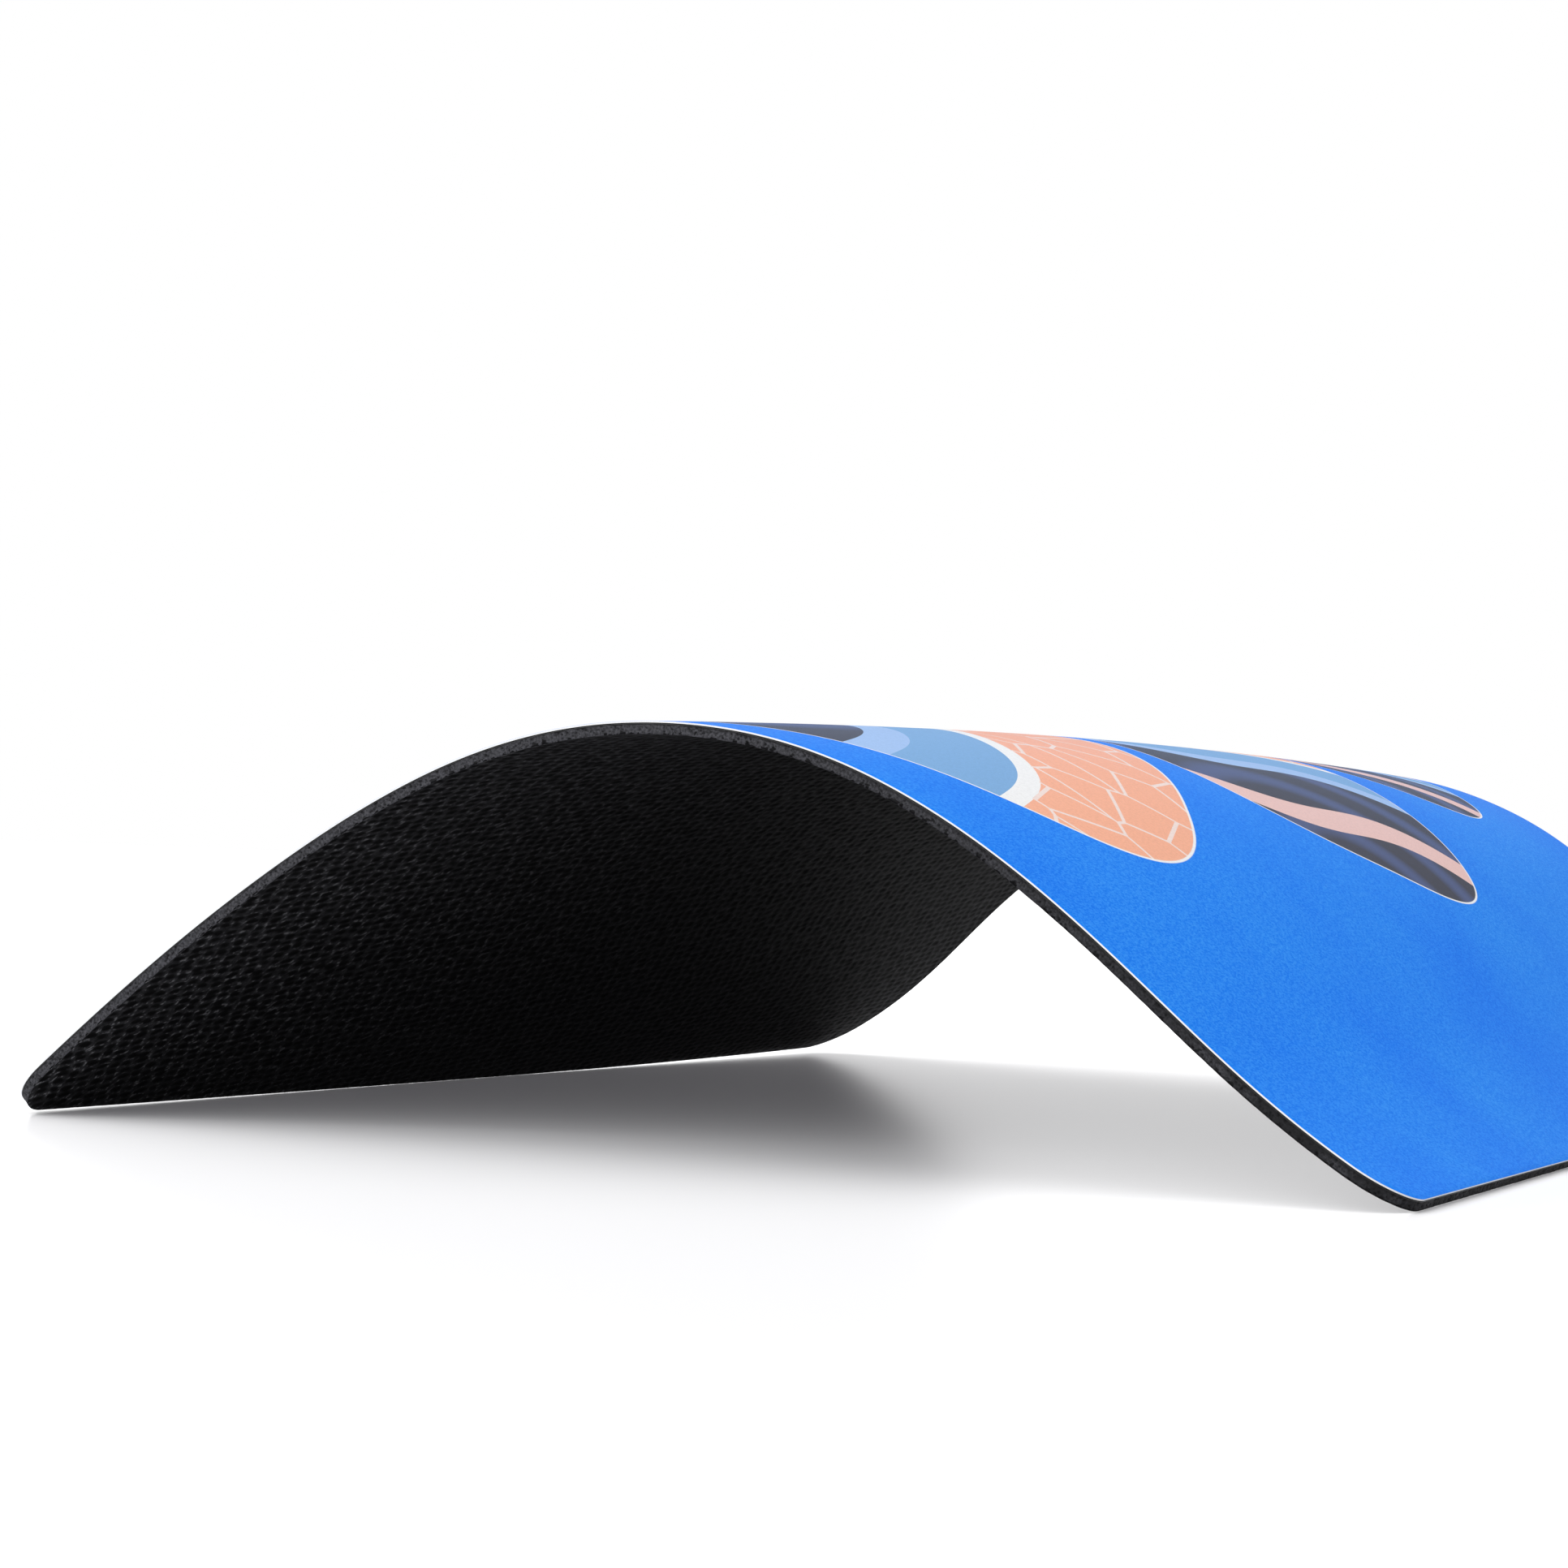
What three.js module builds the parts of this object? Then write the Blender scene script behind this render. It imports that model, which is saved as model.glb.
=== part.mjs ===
// A thin mouse pad, pushed together from its ends so that it stands by itself as an arch.
// It is a laminate: printed cloth, a film of glue, a foamed rubber sheet and its moulded skin.
// Millimetres. +X runs along the bent edges, +Y away from the near edge and +Z up.
// The origin is on the ground, below the middle of the arch.

import * as THREE from 'three';

// Flat size of the pad before it is bent
const padWidth = 200;
const padDepth = 240;
const cornerRadius = 7;

// Thickness of each layer, from the face down
const clothThickness = 0.3;
const filmThickness = 0.05;
const foamThickness = 0.95;
const skinThickness = 0.2;

// Slope of each bent edge in degrees, at even steps from its left foot to its right foot
const nearSlopeDegrees = [43, 37.5, 26.5, -0.5, -28, -40, -28.5];
const farSlopeDegrees = [26.5, 45.5, 25, 6.5, -21, -50, -50.5];

// What the sheet does between its two bent edges and at its left corners
const farEdgeShift = 2;
const crownRise = 2;
const shoulderDrop = 0.6;
const nearCornerLift = 0.2;
const farCornerLift = 1;

// How finely the sheet is divided
const bendSteps = 36;
const cornerSteps = 4;
const depthSteps = 6;
const walkSteps = 360;

// Heights of the layers' faces above the glued face of the cloth
const faceHeight = clothThickness;
const gluedHeight = 0;
const foamTopHeight = -filmThickness;
const foamBottomHeight = foamTopHeight - foamThickness;
const gripHeight = foamBottomHeight - skinThickness;

// A smooth curve through the given slopes, read at a share of the way along them, in radians
function slopeAt(slopes, share) {
  const last = slopes.length - 1;
  const index = Math.min(Math.floor(share * last), last - 1);
  const t = share * last - index;
  const start = slopes[index];
  const end = slopes[index + 1];
  const before = index > 0 ? slopes[index - 1] : 2 * start - end;
  const after = index + 2 <= last ? slopes[index + 2] : 2 * end - start;
  const linear = (end - before) / 2;
  const square = before - 2.5 * start + 2 * end - after / 2;
  const cube = (after - before) / 2 + 1.5 * (start - end);
  return THREE.MathUtils.degToRad(start + t * (linear + t * (square + t * cube)));
}

// One bent edge seen end on. It is walked in short steps of equal length along its slope, then
// turned and moved so that the lower corners of both of its feet are on the ground.
function bentEdge(slopes) {
  const step = padWidth / walkSteps;
  const walked = [{ x: 0, z: 0, slope: slopeAt(slopes, 0) }];
  for (let i = 1; i <= walkSteps; i += 1) {
    const middle = slopeAt(slopes, (i - 0.5) / walkSteps);
    const x = walked[i - 1].x + step * Math.cos(middle);
    const z = walked[i - 1].z + step * Math.sin(middle);
    walked.push({ x, z, slope: slopeAt(slopes, i / walkSteps) });
  }
  const left = below(walked[0]);
  const right = below(walked[walkSteps]);
  const turn = Math.atan2(right.z - left.z, right.x - left.x);
  const cos = Math.cos(turn);
  const sin = Math.sin(turn);
  return walked.map((point) => {
    const x = point.x - left.x;
    const z = point.z - left.z;
    return { x: x * cos + z * sin, z: z * cos - x * sin, slope: point.slope - turn };
  });
}

// The point of the underside that is square below a point of the glued face
function below(point) {
  const x = point.x - gripHeight * Math.sin(point.slope);
  const z = point.z + gripHeight * Math.cos(point.slope);
  return { x, z };
}

// A point of a bent edge at a share of its length
function alongEdge(edge, share) {
  const index = Math.min(Math.floor(share * walkSteps), walkSteps - 1);
  const t = share * walkSteps - index;
  const mix = (key) => THREE.MathUtils.lerp(edge[index][key], edge[index + 1][key], t);
  return { x: mix('x'), z: mix('z'), slope: mix('slope') };
}

const nearEdge = bentEdge(nearSlopeDegrees);
const farEdge = bentEdge(farSlopeDegrees);

// A point of the bent sheet, by its shares of the flat width and depth and its height above the
// glued face. The sheet blends the two bent edges, rises a little along its crown, and its left
// foot curls up towards both corners, so that it stands on the middle of that foot.
function sheetPoint(widthShare, depthShare, height) {
  const near = alongEdge(nearEdge, widthShare);
  const far = alongEdge(farEdge, widthShare);
  const slope = THREE.MathUtils.lerp(near.slope, far.slope, depthShare);
  const middleShare = 4 * depthShare * (1 - depthShare);
  const crown = crownRise * Math.sin(Math.PI * widthShare) ** 2;
  const shoulder = shoulderDrop * Math.sin(2 * Math.PI * widthShare);
  const cornerLift = depthShare < 0.5 ? nearCornerLift : farCornerLift;
  const lift = cornerLift * (2 * depthShare - 1) ** 2 * (1 - widthShare) ** 2;
  const x = THREE.MathUtils.lerp(near.x, far.x + farEdgeShift, depthShare);
  const z = THREE.MathUtils.lerp(near.z, far.z, depthShare);
  const rise = middleShare * (crown - shoulder) + lift;
  return new THREE.Vector3(
    x - height * Math.sin(slope),
    padDepth * depthShare,
    z + rise + height * Math.cos(slope),
  );
}

// Places along the flat width where the sheet is divided: closer together in the round corners
function widthPlaces() {
  const places = [];
  for (let i = 0; i < cornerSteps; i += 1) {
    places.push(cornerRadius * (1 - Math.cos((Math.PI / 2) * (i / cornerSteps))));
  }
  for (let i = 0; i <= bendSteps; i += 1) {
    places.push(THREE.MathUtils.lerp(cornerRadius, padWidth - cornerRadius, i / bendSteps));
  }
  for (let i = cornerSteps - 1; i >= 0; i -= 1) {
    places.push(padWidth - places[i]);
  }
  return places;
}

// How far a round corner draws the near and far edges in, at a place along the flat width
function cornerInset(place) {
  const fromEnd = Math.min(place, padWidth - place);
  const short = Math.max(cornerRadius - fromEnd, 0);
  return cornerRadius - Math.sqrt(cornerRadius ** 2 - short ** 2);
}

const places = widthPlaces();
const columns = places.length;
const rows = depthSteps + 1;

// The grid of points of one face of a layer, column by column
function facePoints(height) {
  const points = [];
  for (const place of places) {
    const inset = cornerInset(place);
    for (let row = 0; row < rows; row += 1) {
      const depth = THREE.MathUtils.lerp(inset, padDepth - inset, row / depthSteps);
      points.push(sheetPoint(place / padWidth, depth / padDepth, height));
    }
  }
  return points;
}

// The numbers of the grid's outer points, counter-clockwise seen from above
function rimNumbers() {
  const rim = [];
  for (let column = 0; column < columns - 1; column += 1) {
    rim.push(column * rows);
  }
  for (let row = 0; row < rows - 1; row += 1) {
    rim.push((columns - 1) * rows + row);
  }
  for (let column = columns - 1; column > 0; column -= 1) {
    rim.push(column * rows + rows - 1);
  }
  for (let row = rows - 1; row > 0; row -= 1) {
    rim.push(row);
  }
  return rim;
}

// The middle of the ground that the bent pad covers, from the faces that reach furthest
function footprintMiddle() {
  const box = new THREE.Box3();
  box.setFromPoints([...facePoints(faceHeight), ...facePoints(gripHeight)]);
  const middle = box.getCenter(new THREE.Vector3());
  middle.z = box.min.z;
  return middle;
}

const middle = footprintMiddle();

// One layer of the laminate as a closed slab between two heights. Layers that touch share the
// same points and the same diagonals, so they meet face to face all over.
function layerGeometry(topHeight, bottomHeight) {
  const top = facePoints(topHeight);
  const bottom = facePoints(bottomHeight);
  const positions = [];
  for (const point of [...top, ...bottom]) {
    point.sub(middle);
    positions.push(point.x, point.y, point.z);
  }
  const under = top.length;
  const triangles = [];
  for (let column = 0; column < columns - 1; column += 1) {
    for (let row = 0; row < depthSteps; row += 1) {
      const a = column * rows + row;
      const b = a + rows;
      triangles.push(a, b, b + 1, a, b + 1, a + 1);
      triangles.push(under + a, under + b + 1, under + b, under + a, under + a + 1, under + b + 1);
    }
  }
  const rim = rimNumbers();
  rim.forEach((a, index) => {
    const b = rim[(index + 1) % rim.length];
    triangles.push(a, under + a, under + b, a, under + b, b);
  });
  const geometry = new THREE.BufferGeometry();
  geometry.setAttribute('position', new THREE.Float32BufferAttribute(positions, 3));
  geometry.setIndex(triangles);
  geometry.computeVertexNormals();
  return geometry;
}

function layer(name, topHeight, bottomHeight, look) {
  const mesh = new THREE.Mesh(
    layerGeometry(topHeight, bottomHeight),
    new THREE.MeshStandardMaterial(look),
  );
  mesh.name = name;
  return mesh;
}

const mousePad = new THREE.Group();

// Knitted polyester cloth, white inside, with its face dyed bright blue
mousePad.add(layer('printed_cloth', faceHeight, gluedHeight, {
  color: 0x2e86f3,
  roughness: 0.85,
  metalness: 0,
}));

// The film of glue that bonds the cloth to the rubber, a thin dark line along the cut edge
mousePad.add(layer('adhesive_film', gluedHeight, foamTopHeight, {
  color: 0x26262a,
  roughness: 0.5,
  metalness: 0,
}));

// Foamed rubber sheet, dark grey and full of fine pores where it is cut
mousePad.add(layer('foam_core', foamTopHeight, foamBottomHeight, {
  color: 0x434348,
  roughness: 0.95,
  metalness: 0,
}));

// The closed black skin of the rubber, moulded with the anti-slip pattern
mousePad.add(layer('grip_skin', foamBottomHeight, gripHeight, {
  color: 0x161618,
  roughness: 0.6,
  metalness: 0,
}));

export default mousePad;
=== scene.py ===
# The look of a thin mouse pad that is bent into an arch and stands on its two end edges.
# The sections follow the pad as it is made: foamed rubber, its moulded skin, glue, printed cloth.
# A place on the pad is given in millimetres on the flat sheet: the width from its left end, the
# depth from its near edge and the height above the glued face of the cloth.

import bpy
import numpy as np
from mathutils import Matrix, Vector
from mathutils.geometry import delaunay_2d_cdt


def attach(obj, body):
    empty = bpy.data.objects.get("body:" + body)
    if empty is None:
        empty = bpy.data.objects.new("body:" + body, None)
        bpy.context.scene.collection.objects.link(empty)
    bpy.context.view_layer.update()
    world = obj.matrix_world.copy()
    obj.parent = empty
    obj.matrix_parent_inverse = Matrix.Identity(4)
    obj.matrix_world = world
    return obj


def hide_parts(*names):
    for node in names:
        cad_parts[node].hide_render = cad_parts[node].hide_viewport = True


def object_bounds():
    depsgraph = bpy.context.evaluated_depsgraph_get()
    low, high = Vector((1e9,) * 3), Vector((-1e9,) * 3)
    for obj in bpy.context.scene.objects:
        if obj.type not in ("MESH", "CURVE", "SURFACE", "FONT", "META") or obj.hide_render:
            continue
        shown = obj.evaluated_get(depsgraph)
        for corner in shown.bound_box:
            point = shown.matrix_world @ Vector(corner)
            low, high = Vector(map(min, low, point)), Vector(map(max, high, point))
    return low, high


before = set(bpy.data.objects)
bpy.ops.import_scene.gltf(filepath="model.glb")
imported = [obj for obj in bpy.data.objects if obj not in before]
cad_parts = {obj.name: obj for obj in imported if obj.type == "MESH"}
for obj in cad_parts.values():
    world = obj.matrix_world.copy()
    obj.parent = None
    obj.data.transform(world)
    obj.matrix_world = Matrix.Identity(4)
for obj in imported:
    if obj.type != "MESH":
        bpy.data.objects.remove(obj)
cad_low, cad_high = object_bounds()


# Foamed rubber core
# A sheet of foamed natural rubber just under a millimetre thick. It is cut to a rectangle with
# round corners together with the other layers, and the knife opens its pores all round the rim.

pad_width = 200.0
pad_depth = 240.0
corner_radius = 7.0
cloth_top = 0.3
core_top = -0.05
core_bottom = -1.0
skin_bottom = -1.2

near_slope_degrees = np.array([43, 37.5, 26.5, -0.5, -28, -40, -28.5])
far_slope_degrees = np.array([26.5, 45.5, 25, 6.5, -21, -50, -50.5])
far_edge_shift = 2.0
crown_rise = 2.0
shoulder_drop = 0.6
near_corner_lift = 0.2
far_corner_lift = 1.0

sharp_edge_degrees = 50
box_rim_count = 1760
core_rim_step = 0.135
core_rim_rows = 9
pores_per_square_mm = 7.0
pore_least_radius = 0.05
pore_most_radius = 0.2
pore_size_power = 1.6
cut_waviness = 0.03
cut_waves = ((97, 0.3), (211, 1.9), (389, 4.4))

cells_per_mm = 3.2
dark_patches_per_mm = 0.16
glue_fingers_per_mm = 0.9
notches_per_mm = 1.1
core_grey = "#2a2a2d"
core_light_grey = "#4c4c51"
core_hollow_shade = "#101012"
core_glue_stain = "#161618"
core_right_dark = "#19191b"


def slopes_along(slopes, share):
    """Slope in radians at shares of the way along a bent edge: a smooth cubic curve through evenly
    spaced slopes in degrees, each stretch of it shaped by the slope before and the slope after."""
    ends = np.concatenate([[2 * slopes[0] - slopes[1]], slopes, [2 * slopes[-1] - slopes[-2]]])
    place = share * (len(slopes) - 1)
    index = np.minimum(place.astype(int), len(slopes) - 2)
    t = place - index
    before, start, end, after = (ends[index + k] for k in range(4))
    square = before - 2.5 * start + 2 * end - after / 2
    cube = (after - before) / 2 + 1.5 * (start - end)
    return np.radians(start + t * ((end - before) / 2 + t * (square + t * cube)))


def bent_edge(slopes, steps=360):
    """Places across and up, and slopes, of a bent edge at even steps. It is walked in short equal
    steps along its slope, then turned so that the lower corners of both feet are level."""
    middles = slopes_along(slopes, (np.arange(steps) + 0.5) / steps)
    slope = slopes_along(slopes, np.arange(steps + 1) / steps)
    across = np.concatenate([[0], np.cumsum(np.cos(middles))]) * pad_width / steps
    up = np.concatenate([[0], np.cumsum(np.sin(middles))]) * pad_width / steps
    foot_across = across[[0, -1]] - skin_bottom * np.sin(slope[[0, -1]])
    foot_up = up[[0, -1]] + skin_bottom * np.cos(slope[[0, -1]])
    turn = np.arctan2(foot_up[1] - foot_up[0], foot_across[1] - foot_across[0])
    across, up = across - foot_across[0], up - foot_up[0]
    turned_across = across * np.cos(turn) + up * np.sin(turn)
    return turned_across, up * np.cos(turn) - across * np.sin(turn), slope - turn


near_edge = bent_edge(near_slope_degrees)
far_edge = bent_edge(far_slope_degrees)


def bent_points(width, depth, height):
    """Places on the flat pad to points of the bent pad, in millimetres. A place blends the two
    bent edges by its share of the depth, the crown rises in the middle of the depth, the left
    foot curls up towards both corners, and the height goes square to the slope."""
    steps = np.linspace(0, pad_width, len(near_edge[0]))
    near_across, near_up, near_slope = (np.interp(width, steps, values) for values in near_edge)
    far_across, far_up, far_slope = (np.interp(width, steps, values) for values in far_edge)
    share = depth / pad_depth
    along = width / pad_width
    slope = near_slope + (far_slope - near_slope) * share
    bulge = crown_rise * np.sin(np.pi * along) ** 2 - shoulder_drop * np.sin(2 * np.pi * along)
    lift = np.where(share < 0.5, near_corner_lift, far_corner_lift)
    lift = lift * (2 * share - 1) ** 2 * (1 - along) ** 2
    across = near_across + (far_across + far_edge_shift - near_across) * share
    up = near_up + (far_up - near_up) * share + 4 * share * (1 - share) * bulge + lift
    return np.stack([across - height * np.sin(slope), depth, up + height * np.cos(slope)], -1)


def pad_rim(count):
    """Evenly spaced places round the flat pad's outline, counter-clockwise, and the outward
    direction at each: the middle of the corner arc moves along the sides, and the direction
    turns a quarter at each round corner."""
    arc = np.pi / 2 * corner_radius
    low, right, far = corner_radius, pad_width - corner_radius, pad_depth - corner_radius
    lengths = np.tile([right - low, arc, far - low, arc], 2)
    knots = np.concatenate([[0], np.cumsum(lengths)])
    place = np.arange(count) * knots[-1] / count
    middle_width = np.interp(place, knots, [low, right, right, right, right, low, low, low, low])
    middle_depth = np.interp(place, knots, [low, low, low, far, far, far, far, low, low])
    turn = np.radians(np.interp(place, knots, [-90, -90, 0, 0, 90, 90, 180, 180, 270]))
    outward = np.stack([np.cos(turn), np.sin(turn)], -1)
    return np.stack([middle_width, middle_depth], -1) + corner_radius * outward, outward


def rim_waves(count, waves):
    """Sum of some waves at evenly spaced places round the outline. A wave is given by how often
    it goes up and down on the way round and by its shift in radians."""
    round_rim = np.arange(count) * 2 * np.pi / count
    return sum(np.sin(round_rim * turns + shift) for turns, shift in waves)


rim_length = 2 * (pad_width + pad_depth - 4 * corner_radius) + 2 * np.pi * corner_radius
box_rim = pad_rim(box_rim_count)[0]
box_points = np.concatenate([
    bent_points(*box_rim.T, height) for height in (cloth_top, skin_bottom)])
box_middle = (box_points.min(0) + box_points.max(0)) / 2
box_middle[2] = box_points[:, 2].min()
ground_middle = np.array([(cad_low[0] + cad_high[0]) / 2, (cad_low[1] + cad_high[1]) / 2, 0.0])


def flat_grid(step_across=3.0, step_along=6.0, border=1.5):
    """Places on the flat pad on an even grid that stays a border's width inside its outline."""
    rounding = 1e-6
    width = np.arange(border, pad_width - border + rounding, step_across)
    depth = np.arange(border, pad_depth - border + rounding, step_along)
    places = np.stack(np.meshgrid(width, depth), -1).reshape(-1, 2)
    places += [(pad_width - width[-1] - border) / 2, (pad_depth - depth[-1] - border) / 2]
    inner = np.clip(places, corner_radius, [pad_width - corner_radius, pad_depth - corner_radius])
    return places[np.hypot(*(places - inner).T) < corner_radius - border / 2]


def fill_rim(rim, rim_edges, inner):
    """Triangles, counter-clockwise, that fill the rim and use the inner places as well, each as
    near to equal-sided as the places let it be."""
    places = np.concatenate([rim, inner])
    inside_edges, same_place = 1, 1e-7
    found = delaunay_2d_cdt(places.tolist(), rim_edges.tolist(), [], inside_edges, same_place)
    triangles = np.array(found[2], int)
    a, b, c = (places[triangles[:, k]] for k in range(3))
    area = (b - a)[:, 0] * (c - a)[:, 1] - (b - a)[:, 1] * (c - a)[:, 0]
    return np.where(area[:, None] < 0, triangles[:, ::-1], triangles)


def add_piece(name, flat, faces, stands_for, slot, **marks):
    """A mesh piece from places on the flat pad and its faces, bent, turned from millimetres to
    metres and put in the pad's place. The flat places stay on it as an attribute, for the
    patterns, and so do any other marks."""
    points = (bent_points(*flat.T) - box_middle) / 1000 + ground_middle
    corners = np.concatenate([group.ravel() for group in faces])
    counts = np.concatenate([np.full(len(group), group.shape[1]) for group in faces])
    mesh = bpy.data.meshes.new(name)
    mesh.vertices.add(len(points))
    mesh.vertices.foreach_set("co", points.astype(np.float32).ravel())
    mesh.loops.add(len(corners))
    mesh.loops.foreach_set("vertex_index", corners.astype(np.int32))
    mesh.polygons.add(len(counts))
    mesh.polygons.foreach_set("loop_start", np.concatenate([[0], np.cumsum(counts)[:-1]]))
    for mark, values in {"flat": flat, **marks}.items():
        kind, field = ("FLOAT_VECTOR", "vector") if values.ndim == 2 else ("FLOAT", "value")
        attribute = mesh.attributes.new(mark, kind, "POINT")
        attribute.data.foreach_set(field, values.astype(np.float32).ravel())
    mesh.update(calc_edges=True)
    mesh.validate()
    mesh.shade_smooth()
    mesh.set_sharp_from_angle(angle=np.radians(sharp_edge_degrees))
    piece = bpy.data.objects.new(name, mesh)
    bpy.context.scene.collection.objects.link(piece)
    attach(piece, "root")
    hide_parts(stands_for)
    return piece


def layer_solid(rim, row_heights, row_insets, outward, inner):
    """Flat places and faces of one layer: rows round its cut rim, from its upper face down to its
    lower face, each row drawn in by its insets, and both faces filled over the inner places."""
    count, rows = len(rim), len(row_heights)
    heights = np.broadcast_to(np.reshape(row_heights, (rows, -1)), (rows, count))
    walls = rim[None] - np.reshape(row_insets, (rows, -1, 1)) * outward[None]
    walls = np.concatenate([walls, heights[..., None]], -1).reshape(-1, 3)
    upper = np.column_stack([inner, np.full(len(inner), heights[0, 0])])
    lower = np.column_stack([inner, np.full(len(inner), heights[-1, 0])])
    here = np.arange(count)
    after = (here + 1) % count
    starts = np.arange(rows - 1)[:, None] * count
    quads = np.stack([starts + here, starts + count + here, starts + count + after,
                      starts + after], -1).reshape(-1, 4)
    fill = fill_rim(rim, np.stack([here, after], -1), inner)
    upper_fill = np.where(fill < count, fill, fill - count + len(walls))
    lower_fill = np.where(fill < count, fill + (rows - 1) * count,
                          fill - count + len(walls) + len(inner))
    return np.concatenate([walls, upper, lower]), [quads, upper_fill, lower_fill[:, ::-1]]


def pore_depths(count, step, heights, random):
    """Depth of the opened pores at each row of the rim and each place round it. A pore is half a
    ball, small ones are commoner than large ones, and where pores meet the deeper one counts."""
    pores = int(pores_per_square_mm * count * step * (heights.max() - heights.min()))
    place = random.uniform(0, count * step, pores)
    height = random.uniform(heights.min(), heights.max(), pores)
    size = random.random(pores) ** pore_size_power
    radius = pore_least_radius + (pore_most_radius - pore_least_radius) * size
    reach = int(np.ceil(pore_most_radius / step))
    columns = (place / step).astype(int)[:, None] + np.arange(-reach, reach + 1)
    aside = (columns * step - place[:, None])[:, None, :]
    above = (heights - height[:, None])[:, :, None]
    depth = np.sqrt(np.maximum(radius[:, None, None] ** 2 - aside ** 2 - above ** 2, 0))
    depths = np.zeros((len(heights), count))
    rows = np.broadcast_to(np.arange(len(heights))[None, :, None], depth.shape)
    columns = np.broadcast_to(columns[:, None, :] % count, depth.shape)
    np.maximum.at(depths, (rows, columns), depth)
    return depths


random = np.random.default_rng(7)
core_count = int(rim_length / core_rim_step)
core_rim, core_outward = pad_rim(core_count)
core_heights = np.linspace(core_top, core_bottom, core_rim_rows)
core_pores = pore_depths(core_count, rim_length / core_count, core_heights, random)
core_pores[0] = 0
cut_sway = 1 + rim_waves(core_count, cut_waves) / len(cut_waves)
hollow = np.sin(np.pi * np.linspace(0, 1, core_rim_rows))[:, None]
core_insets = core_pores + cut_waviness * cut_sway * hollow
core_inner = flat_grid()
core_flat, core_faces = layer_solid(core_rim, core_heights, core_insets, core_outward, core_inner)
core_marks = np.concatenate([core_pores.ravel() / pore_most_radius, np.zeros(2 * len(core_inner))])
foamed_core = add_piece("foamed_core", core_flat, core_faces, "foam_core", "foamed_rubber",
                        pore=core_marks)


def linear(colour):
    """A colour written as sRGB hex, turned to the linear red, green, blue and alpha of a node."""
    share = np.array([int(colour[start:start + 2], 16) for start in (1, 3, 5)]) / 255
    return (*np.where(share < 0.04045, share / 12.92, ((share + 0.055) / 1.055) ** 2.4), 1.0)


def new_material(name):
    """A material with no nodes yet."""
    material = bpy.data.materials.new(name)
    material.use_nodes = True
    material.node_tree.nodes.clear()
    return material


def add_node(owner, kind, sockets=None, **settings):
    """Adds a node with its settings to a material or the world. Each named or numbered socket
    gets a value, or is linked to another node's first output or to the given output."""
    node = owner.node_tree.nodes.new("ShaderNode" + kind)
    for setting, value in settings.items():
        setattr(node, setting, value)
    for socket, value in (sockets or {}).items():
        if isinstance(value, bpy.types.Node):
            value = value.outputs[0]
        if isinstance(value, bpy.types.NodeSocket):
            owner.node_tree.links.new(value, node.inputs[socket])
        else:
            node.inputs[socket].default_value = value
    return node


# Foamed rubber that a knife has cut: dull dark grey, mottled by the walls of its cells, painted
# near black in its open pores as painted shade, and stained darker along its top by the glue that
# soaked into it. Past the left foot its lower edge is painted black in ragged notches, as painted
# shade of the pits that open there, and towards the right end it is darker in patches.
# Its noises are laid out in metres, so their scales are 1000 times the count per millimetre.
cell_noise = {"Scale": 1000 * cells_per_mm, "Detail": 3, "Roughness": 0.6}
right_dark_range = {"From Min": 110, "From Max": 188, "To Max": 0.9}
stain_range = {"From Min": 92, "From Max": 125}
glue_sway = 0.5
notch_sway = 3.3


def notch_shade_share(material, place, height, most):
    """How much of the cut is painted black at a place, as painted shade of the pits that open at
    its lower edge: nothing where a noise times its sway, less the height in millimetres, is under
    2.83, and the most it can be where that is over 2.9."""
    tears = add_node(material, "TexNoise", {
        "Vector": place, "Scale": 1000 * notches_per_mm, "Detail": 2})
    tears = add_node(material, "Math", {0: tears, 1: notch_sway}, operation="MULTIPLY")
    tears = add_node(material, "Math", {0: tears, 1: height}, operation="SUBTRACT")
    return add_node(material, "MapRange", {
        "Value": tears, "From Min": 2.83, "From Max": 2.9, "To Max": most})


cut_foam = new_material("cut_foamed_rubber")
place = add_node(cut_foam, "TexCoord").outputs["Object"]
flat_place = add_node(cut_foam, "Attribute", attribute_name="flat").outputs["Vector"]
flat_sides = add_node(cut_foam, "SeparateXYZ", {0: flat_place}).outputs
pore = add_node(cut_foam, "Attribute", attribute_name="pore").outputs["Fac"]
cells = add_node(cut_foam, "TexNoise", {"Vector": place, **cell_noise})
patches = add_node(cut_foam, "TexNoise", {
    "Vector": place, "Scale": 1000 * dark_patches_per_mm, "Detail": 3})
mottle = add_node(cut_foam, "MapRange", {"Value": cells, "From Min": 0.38, "From Max": 0.64})
shade = add_node(cut_foam, "MixRGB", {
    "Fac": mottle, "Color1": linear(core_grey), "Color2": linear(core_light_grey)})
# Darker towards the right end, in patches.
towards_right = add_node(cut_foam, "MapRange", {"Value": flat_sides["X"], **right_dark_range})
right_dark = add_node(cut_foam, "MapRange", {"Value": patches, "From Min": 0.2, "From Max": 0.5})
right_dark = add_node(cut_foam, "Math", {0: right_dark, 1: towards_right}, operation="MULTIPLY")
shade = add_node(cut_foam, "MixRGB", {
    "Fac": right_dark, "Color1": shade, "Color2": linear(core_right_dark)})
# Painted shade: the open pores are painted near black, the deeper ones darker.
pore_shade = add_node(cut_foam, "MapRange", {
    "Value": pore, "From Min": 0.15, "From Max": 0.9, "To Max": 0.85})
shade = add_node(cut_foam, "MixRGB", {
    "Fac": pore_shade, "Color1": shade, "Color2": linear(core_hollow_shade)})

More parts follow.
